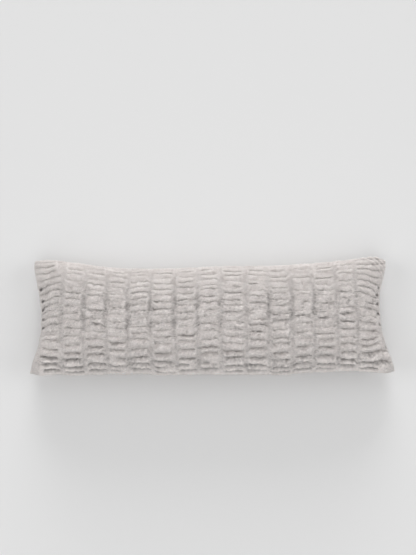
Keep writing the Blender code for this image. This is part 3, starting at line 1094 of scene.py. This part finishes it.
    def surface(self) -> tuple[np.ndarray, np.ndarray, np.ndarray, np.ndarray]:
        """Makes the closed cover.

        Returns:
            Its points, its four-sided faces, the three-sided ones in the middle of the back, and each point's
            painted shade, painted light and grain for its colour, which is 0 on the back.
        """
        face, grid = self.face_points()
        columns, rows = grid.u.shape
        numbers = np.arange(columns * rows).reshape(columns, rows)
        low, high = numbers[:-1, :-1], numbers[1:, 1:]
        quads = [np.stack([low, numbers[1:, :-1], high, numbers[:-1, 1:]], axis=-1).reshape(-1, 4)]
        points = [face.reshape(-1, 3)]
        loop, start = self.border(numbers), columns * rows
        for ring_points in self.back_loops(face, grid):
            points.append(ring_points)
            ring = np.arange(start, start + len(loop))
            start += len(loop)
            quads.append(np.stack([np.roll(loop, -1), loop, ring, np.roll(ring, -1)], axis=-1))
            loop = ring
        points.append(np.zeros((1, 3)))
        fan = np.stack([np.roll(loop, -1), loop, np.full(len(loop), start)], axis=-1)
        points = np.concatenate(points)
        sunk = np.zeros(len(points))
        sunk[: grid.sunk.size] = grid.sunk.ravel()
        return points, np.concatenate(quads), fan, sunk

    def build(self) -> bpy.types.Object:
        """Makes the cover.

        Returns:
            The cover as one object, in the place of its solid.
        """
        points, quads, fan, sunk = self.surface()
        low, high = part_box(NODE)
        middle = (points[:, :2].min(axis=0) + points[:, :2].max(axis=0)) / 2
        points[:, :2] += np.array([low.x + high.x, low.y + high.y]) / 2 - middle
        mesh = bpy.data.meshes.new("cover")
        mesh.from_pydata(points.tolist(), [], quads.tolist() + fan.tolist())
        mesh.shade_smooth()
        normals = np.empty(len(points) * 3, np.float32)
        mesh.vertex_normals.foreach_get("vector", normals)
        points -= normals.reshape(-1, 3) * self.pile_depth
        points[:, 2] = np.maximum(points[:, 2], self.least_height)
        mesh.vertices.foreach_set("co", points.astype(np.float32).ravel())
        # The painted shade, painted light and grain goes into the colour of the cloth and of its tufts.
        mesh.attributes.new("sunk", "FLOAT", "POINT").data.foreach_set("value", sunk.astype(np.float32))
        mesh.update()
        cover = bpy.data.objects.new("cover", mesh)
        bpy.context.scene.collection.objects.link(cover)
        return cover


class Zone(Enum):
    """The parts of the cover whose pile is a piece of its own, with their limits along the pillow."""

    FACE_LEFT = (-1.0, -0.222)
    FACE_MIDDLE = (-0.222, 0.222)
    FACE_RIGHT = (0.222, 1.0)
    BACK = (-1.0, 1.0)


@dataclass
class Pile:
    """Short leaning tufts of pile on one zone of the cover, each a slim three-sided spike.

    nap is the way that the pile is brushed, stray is how far each tuft strays from it, and swirl and clump
    are how it turns over broad and small patches. Spreads are the least and the most of a length or width, as
    shares of it. foot_wide and foot_thick shape the spike's foot, as shares of half the width.
    """

    zone: Zone
    seed: int
    tufts: int = 66000
    length: float = 0.0046
    length_spread: Span = (0.7, 1.15)
    width: float = 0.0020
    width_spread: Span = (0.8, 1.2)
    foot_wide: float = 1.15
    foot_thick: float = 0.8
    foot_depth: float = 0.0006
    least_height: float = 0.0006
    lean_deg: float = 60.0
    lean_ripples_deg: Ripples = Ripples(0.03, 35, height=12)
    lean_scatter_deg: float = 9
    lean_limits_rad: Span = (0.2, 1.35)
    nap: tuple[float, float, float] = (0.0, -1.0, -0.15)
    swirl: Ripples = Ripples(0.07, 31, height=0.25)
    clump: Ripples = Ripples(0.010, 41, waves=30, height=0.25)
    stray: float = 0.35

    def corners(self, cover: bpy.types.Object) -> tuple[np.ndarray, np.ndarray, np.ndarray, np.ndarray]:
        """Reads the cover's four-sided faces of this zone.

        Args:
            cover: the cover, whose mesh has no modifiers.

        Returns:
            The places, the ways out and the painted shade and grain of the four corners of each face, and its
            area.
        """
        mesh = cover.data
        points = np.empty(len(mesh.vertices) * 3, np.float32)
        mesh.vertices.foreach_get("co", points)
        normals = np.empty(len(mesh.vertices) * 3, np.float32)
        mesh.vertex_normals.foreach_get("vector", normals)
        sunk = np.empty(len(mesh.vertices), np.float32)
        mesh.attributes["sunk"].data.foreach_get("value", sunk)
        sizes = np.empty(len(mesh.polygons), np.int32)
        mesh.polygons.foreach_get("loop_total", sizes)
        corners = np.empty(len(mesh.loops), np.int32)
        mesh.loops.foreach_get("vertex_index", corners)
        quads = corners[: 4 * int((sizes == 4).sum())].reshape(-1, 4)
        points, normals = points.reshape(-1, 3).astype(float), normals.reshape(-1, 3).astype(float)
        face_quads = Gathers().face_quads()
        if self.zone is Zone.BACK:
            quads = quads[face_quads:]
        else:
            quads = quads[:face_quads]
            middle = points[quads].mean(axis=1)[:, 0]
            low, high = self.zone.value
            quads = quads[(middle >= low) & (middle < high)]
        place = points[quads]
        area = np.linalg.norm(np.cross(place[:, 2] - place[:, 0], place[:, 3] - place[:, 1]), axis=1) / 2
        return place, normals[quads], sunk[quads], area

    def roots(self, cover: bpy.types.Object) -> tuple[np.ndarray, np.ndarray, np.ndarray]:
        """Spreads the tufts evenly over the zone.

        Args:
            cover: the cover.

        Returns:
            The place of each root, the way out of the cloth there, and the painted shade and grain of its
            colour.
        """
        random = np.random.default_rng(self.seed)
        place, normals, sunk, area = self.corners(cover)
        run = np.cumsum(area)
        picks = (np.arange(self.tufts) + random.uniform(0, 1, self.tufts)) / self.tufts * run[-1]
        chosen = np.minimum(np.searchsorted(run, picks), len(area) - 1)
        u, v = random.uniform(0, 1, (2, self.tufts, 1))
        weights = [(1 - u) * (1 - v), u * (1 - v), u * v, (1 - u) * v]
        root = sum(w * place[chosen, k] for k, w in enumerate(weights))
        out = sum(w * normals[chosen, k] for k, w in enumerate(weights))
        # depth here is the roots' painted shade and grain, not a depth.
        depth = sum(w[:, 0] * sunk[chosen, k] for k, w in enumerate(weights))
        return root, unit(out), depth

    def ways(self, root: np.ndarray, out: np.ndarray, random: np.random.Generator) -> np.ndarray:
        """Leans the tufts.

        Args:
            root: the place of each root.
            out: the way out of the cloth there.
            random: where the draws come from.

        Returns:
            The way that each tuft points.
        """
        nap = np.array(self.nap) + self.swirl.ways_at(root) + self.clump.ways_at(root)
        nap = nap + self.stray * random.normal(size=root.shape)
        nap = unit(nap - (nap * out).sum(axis=1, keepdims=True) * out)
        scatter = self.lean_scatter_deg * random.normal(size=len(root))
        lean = np.radians(self.lean_deg + self.lean_ripples_deg.at(root) + scatter)
        lean = np.clip(lean, *self.lean_limits_rad)[:, None]
        return np.cos(lean) * out + np.sin(lean) * nap

    def build(self, cover: bpy.types.Object) -> bpy.types.Object:
        """Grows the tufts.

        Args:
            cover: the cover they grow from.

        Returns:
            One object with all the tufts of the zone.
        """
        random = np.random.default_rng(self.seed + 1)
        root, out, sunk = self.roots(cover)
        way = self.ways(root, out, random)
        length = self.length * random.uniform(*self.length_spread, (len(root), 1))
        turn = random.uniform(0, 2 * math.pi, len(root))
        half_width = self.width * random.uniform(*self.width_spread, len(root)) / 2
        beside = unit(np.cross(way, out))
        above = np.cross(beside, way)
        spike = np.empty((len(root), 4, 3))
        for corner in range(3):
            angle = turn + corner * 2 * math.pi / 3
            aside = (np.cos(angle) * half_width * self.foot_wide)[:, None] * beside
            upward = (np.sin(angle) * half_width * self.foot_thick)[:, None] * above
            spike[:, corner] = root + (aside + upward) - out * self.foot_depth
        spike[:, 3] = root + way * length
        spike[..., 2] = np.maximum(spike[..., 2], self.least_height)
        return self.spikes(spike, sunk)

    def spikes(self, spike: np.ndarray, sunk: np.ndarray) -> bpy.types.Object:
        """Makes the mesh.

        Args:
            spike: three foot points and a tip for each tuft.
            sunk: the painted shade, painted light and grain at each tuft's root.

        Returns:
            The object, which keeps each point's share of the way to the tip, and its painted shade and grain.
        """
        count = len(spike)
        first = np.arange(count)[:, None] * 4
        faces = np.stack([first + [0, 1, 3], first + [1, 2, 3], first + [2, 0, 3]], axis=1).reshape(-1, 3)
        mesh = bpy.data.meshes.new("pile_" + self.zone.name.lower())
        mesh.vertices.add(count * 4)
        mesh.vertices.foreach_set("co", spike.astype(np.float32).ravel())
        mesh.loops.add(len(faces) * 3)
        mesh.loops.foreach_set("vertex_index", faces.astype(np.int32).ravel())
        mesh.polygons.add(len(faces))
        mesh.polygons.foreach_set("loop_start", np.arange(0, len(faces) * 3, 3, dtype=np.int32))
        mesh.update(calc_edges=True)
        mesh.shade_smooth()
        for name, values in (("to_tip", np.tile([0, 0, 0, 1], count)), ("sunk", np.repeat(sunk, 4))):
            mesh.attributes.new(name, "FLOAT", "POINT").data.foreach_set("value", values.astype(np.float32))
        pile = bpy.data.objects.new(mesh.name, mesh)
        bpy.context.scene.collection.objects.link(pile)
        return pile


class Nodes:
    """Short ways to add shader nodes to one node tree."""

    def __init__(self, tree: bpy.types.NodeTree) -> None:
        """Keeps the tree that the nodes go into."""
        self.tree = tree

    def add(self, kind: str, **settings: object) -> bpy.types.Node:
        """Adds a node.

        Args:
            kind: the node's type.
            settings: its properties by name.

        Returns:
            The node.
        """
        node = self.tree.nodes.new(kind)
        for name, value in settings.items():
            setattr(node, name, value)
        return node

    def join(self, source: Socket, target: Socket) -> None:
        """Links one socket to another."""
        self.tree.links.new(source, target)

    def sum_of(self, one: Socket, factor: float, other: Socket | float) -> Socket:
        """Multiplies and adds.

        Args:
            one: the socket to multiply.
            factor: what it is multiplied by.
            other: the socket or the number to add.

        Returns:
            The socket that holds one times factor plus other.
        """
        node = self.add("ShaderNodeMath", operation="MULTIPLY_ADD")
        self.join(one, node.inputs[0])
        node.inputs[1].default_value = factor
        if isinstance(other, float):
            node.inputs[2].default_value = other
        else:
            self.join(other, node.inputs[2])
        return node.outputs[0]


@dataclass(frozen=True)
class Mottle:
    """One noise in the pile's tone: its scale and detail, and how much it lightens the tone."""

    scale: float
    detail: float
    weight: float


class PileTone:
    """The shader node group for the pile's mottled tone: fine strands, small clumps and broad patches,
    lighter towards the tips with painted shade at the roots between the tufts, and with the cover's painted
    shade.
    """

    NAME = "pile_tone"
    STRANDS = Mottle(240.0, 3.0, 1.1)
    CLUMPS = Mottle(95.0, 2.0, 0.55)
    PATCHES = Mottle(13.0, 1.0, 0.35)
    # Lighter towards the tips: the darker roots are painted shade between the tufts.
    TIP_WEIGHT = 0.55
    ROOT_TONE = -0.75
    CLUMP_HEIGHT = 0.6
    SHADE_AND_GRAIN_SHARE = 0.17

    @classmethod
    def group(cls) -> bpy.types.NodeTree:
        """The group, built once."""
        found = bpy.data.node_groups.get(cls.NAME)
        return found or cls.build()

    @classmethod
    def build(cls) -> bpy.types.NodeTree:
        """Builds the group.

        Returns:
            A group with the inputs Dark, Light, To tip and Sunk, and the outputs Colour and Height. Its last
            input is painted shade, painted light and grain, which darkens or lightens the colour.
        """
        tree = bpy.data.node_groups.new(cls.NAME, "ShaderNodeTree")
        for name in ("Dark", "Light"):
            tree.interface.new_socket(name=name, in_out="INPUT", socket_type="NodeSocketColor")
        for name in ("To tip", "Sunk"):
            tree.interface.new_socket(name=name, in_out="INPUT", socket_type="NodeSocketFloat")
        for name, kind in (("Colour", "NodeSocketColor"), ("Height", "NodeSocketFloat")):
            tree.interface.new_socket(name=name, in_out="OUTPUT", socket_type=kind)
        nodes = Nodes(tree)
        given, told = nodes.add("NodeGroupInput"), nodes.add("NodeGroupOutput")
        place = nodes.add("ShaderNodeTexCoord").outputs["Object"]
        lightness = nodes.sum_of(given.outputs["To tip"], cls.TIP_WEIGHT, cls.ROOT_TONE)
        noises = []
        for mottle in (cls.STRANDS, cls.CLUMPS, cls.PATCHES):
            noise = nodes.add("ShaderNodeTexNoise")
            noise.inputs["Scale"].default_value = mottle.scale
            noise.inputs["Detail"].default_value = mottle.detail
            nodes.join(place, noise.inputs["Vector"])
            noises.append(noise.outputs["Fac"])
            lightness = nodes.sum_of(noises[-1], mottle.weight, lightness)
        mix = nodes.add("ShaderNodeMix", data_type="RGBA", clamp_factor=True)
        nodes.join(lightness, mix.inputs["Factor"])
        nodes.join(given.outputs["Dark"], mix.inputs[6])
        nodes.join(given.outputs["Light"], mix.inputs[7])
        # Painted shade: the tone loses a share for each unit of painted shade, and gains it where that is
        # negative.
        scaled = nodes.add("ShaderNodeVectorMath", operation="SCALE")
        nodes.join(mix.outputs[2], scaled.inputs[0])
        nodes.join(nodes.sum_of(given.outputs["Sunk"], -cls.SHADE_AND_GRAIN_SHARE, 1.0), scaled.inputs["Scale"])
        nodes.join(scaled.outputs[0], told.inputs["Colour"])
        strands, clumps = noises[:2]
        nodes.join(nodes.sum_of(clumps, cls.CLUMP_HEIGHT, strands), told.inputs["Height"])
        return tree


@dataclass(frozen=True)
class FurFinish:
    """A matt, slightly sheeny pile finish from a dark tone at the roots to a light one at the tips, the
    darker roots being painted shade between the tufts.

    cloth_to_tip is how far on the way to the tip the tone of the cloth itself is, between the tufts, so the
    cloth takes that painted shade too.
    """

    name: str
    dark: Colour
    light: Colour
    cloth_to_tip: float = 0.3
    roughness: float = 0.85
    specular: float = 0.25
    sheen: float = 0.25
    sheen_roughness: float = 0.45
    bump: float = 0.0012
    bump_strength: float = 0.8

    def material(self, tips: bool) -> bpy.types.Material:
        """Makes the material.

        Args:
            tips: True on tufts, which keep how far each point is on the way to the tip.

        Returns:
            The material, with its colours and bump from the pile_tone group.
        """
        material = bpy.data.materials.new(self.name)
        material.use_nodes = True
        nodes = Nodes(material.node_tree)
        shader = material.node_tree.nodes["Principled BSDF"]
        shader.inputs["Roughness"].default_value = self.roughness
        shader.inputs["Specular IOR Level"].default_value = self.specular
        shader.inputs["Sheen Weight"].default_value = self.sheen
        shader.inputs["Sheen Roughness"].default_value = self.sheen_roughness
        tone = nodes.add("ShaderNodeGroup", node_tree=PileTone.group())
        tone.inputs["Dark"].default_value = (*self.dark, 1.0)
        tone.inputs["Light"].default_value = (*self.light, 1.0)
        tone.inputs["To tip"].default_value = self.cloth_to_tip
        nodes.join(tone.outputs["Colour"], shader.inputs["Base Color"])
        # Painted shade, painted light and grain from the mesh's attribute.
        sunk = nodes.add("ShaderNodeAttribute", attribute_name="sunk")
        nodes.join(sunk.outputs["Fac"], tone.inputs["Sunk"])
        if tips:
            share = nodes.add("ShaderNodeAttribute", attribute_name="to_tip")
            nodes.join(share.outputs["Fac"], tone.inputs["To tip"])
        else:
            bump = nodes.add("ShaderNodeBump")
            bump.inputs["Strength"].default_value = self.bump_strength
            bump.inputs["Distance"].default_value = self.bump
            nodes.join(tone.outputs["Height"], bump.inputs["Height"])
            nodes.join(bump.outputs["Normal"], shader.inputs["Normal"])
        return material


# The cloth between the tufts is darker than the tufts' tips: painted shade under the pile.
GROUND_FUR = FurFinish("fur_ground", dark=(0.68, 0.636, 0.614), light=(0.87, 0.826, 0.806))
TUFT_FUR = FurFinish("fur_pile", dark=(0.69, 0.648, 0.627), light=(0.98, 0.938, 0.917))
PILE_SEEDS = (40, 50, 60, 70)


@dataclass(frozen=True)
class Lamp:
    """One soft, distant lamp: where it shines from, its strength and how wide it looks."""

    name: str
    source: tuple[float, float, float]
    strength: float
    width_deg: float


LAMPS = (
    Lamp("high_above", (0.1, 1.0, 1.0), 0.55, 50.0),
    Lamp("low_above", (0.0, 1.0, 0.15), 3.10, 35.0),
    Lamp("left", (-1.0, 0.0, 0.5), 1.00, 40.0),
    Lamp("right", (1.0, 0.0, 0.5), 1.00, 40.0),
    Lamp("below", (0.0, -1.0, 1.0), 1.05, 60.0),
)


@dataclass
class Studio:
    """A plain pale floor, soft light from all around with most of it from above, and the camera.

    frame_width and frame_height are the photograph's pixels, and view_width is how much of the floor it is
    wide. aim is the place that the camera looks at.
    """

    frame_width: int = 416
    frame_height: int = 555
    distance: float = 3.2
    tilt_deg: float = 11.0
    view_width: float = 1.50
    aim: tuple[float, float, float] = (-0.0150, 0.1337, 0.09)
    sensor_width_mm: float = 36.0
    floor_reach: float = 6.0
    floor_colour: Colour = (0.74, 0.74, 0.74)
    floor_roughness: float = 0.9
    floor_specular: float = 0.1
    world_strength: float = 0.22

    def floor(self) -> bpy.types.Object:
        """Lays the pale floor.

        Returns:
            The floor, which isn't part of the object.
        """
        mesh = bpy.data.meshes.new("floor")
        far = self.floor_reach
        mesh.from_pydata([(-far, -far, 0), (far, -far, 0), (far, far, 0), (-far, far, 0)], [], [(0, 1, 2, 3)])
        material = bpy.data.materials.new("pale_floor")
        material.use_nodes = True
        shader = material.node_tree.nodes["Principled BSDF"]
        shader.inputs["Base Color"].default_value = (*self.floor_colour, 1.0)
        shader.inputs["Roughness"].default_value = self.floor_roughness
        shader.inputs["Specular IOR Level"].default_value = self.floor_specular
        mesh.materials.append(material)
        floor = bpy.data.objects.new("floor", mesh)
        bpy.context.scene.collection.objects.link(floor)
        return floor

    def lights(self) -> None:
        """Lights an even white world and the lamps."""
        world = bpy.data.worlds.new("studio")
        world.use_nodes = True
        background = world.node_tree.nodes["Background"]
        background.inputs["Color"].default_value = (1.0, 1.0, 1.0, 1.0)
        background.inputs["Strength"].default_value = self.world_strength
        bpy.context.scene.world = world
        for lamp in LAMPS:
            light = bpy.data.lights.new(lamp.name, "SUN")
            light.energy = lamp.strength
            light.angle = math.radians(lamp.width_deg)
            sun = bpy.data.objects.new(lamp.name, light)
            sun.location = lamp.source
            sun.rotation_mode = "QUATERNION"
            sun.rotation_quaternion = (-Vector(lamp.source)).to_track_quat("-Z", "Y")
            bpy.context.scene.collection.objects.link(sun)

    def camera(self) -> bpy.types.Object:
        """Places the camera above the face, tilted towards the lower side.

        Returns:
            The camera, with the photograph's framing at 416 by 555 pixels.
        """
        tilt = math.radians(self.tilt_deg)
        back = Vector((0, -math.sin(tilt), math.cos(tilt)))
        data = bpy.data.cameras.new("camera")
        data.sensor_width = self.sensor_width_mm
        view_height = self.view_width * self.frame_height / self.frame_width
        data.lens = data.sensor_width * self.distance / view_height
        camera = bpy.data.objects.new("camera", data)
        camera.location = Vector(self.aim) + back * self.distance
        camera.rotation_mode = "QUATERNION"
        camera.rotation_quaternion = (-back).to_track_quat("-Z", "Y")
        bpy.context.scene.collection.objects.link(camera)
        bpy.context.scene.camera = camera
        return camera

    def build(self) -> None:
        """Sets up the whole studio."""
        self.floor()
        self.lights()
        self.camera()
        bpy.context.scene.view_settings.view_transform = "Standard"


def main() -> None:
    """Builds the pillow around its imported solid, and the studio around it."""
    logging.basicConfig(level=logging.INFO, format="%(message)s")
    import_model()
    cover = Cover(Shape(), Gathers()).build()
    cover.data.materials.append(GROUND_FUR.material(tips=False))
    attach(cover, BODY)
    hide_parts(NODE)
    LOG.info("cover: %d faces", len(cover.data.polygons))
    finish = TUFT_FUR.material(tips=True)
    for zone, seed in zip(Zone, PILE_SEEDS):
        pile = Pile(zone, seed).build(cover)
        pile.data.materials.append(finish)
        pile.parent = cover
        LOG.info("%s: %d faces", pile.name, len(pile.data.polygons))
    Studio().build()


if __name__ == "__main__":
    main()
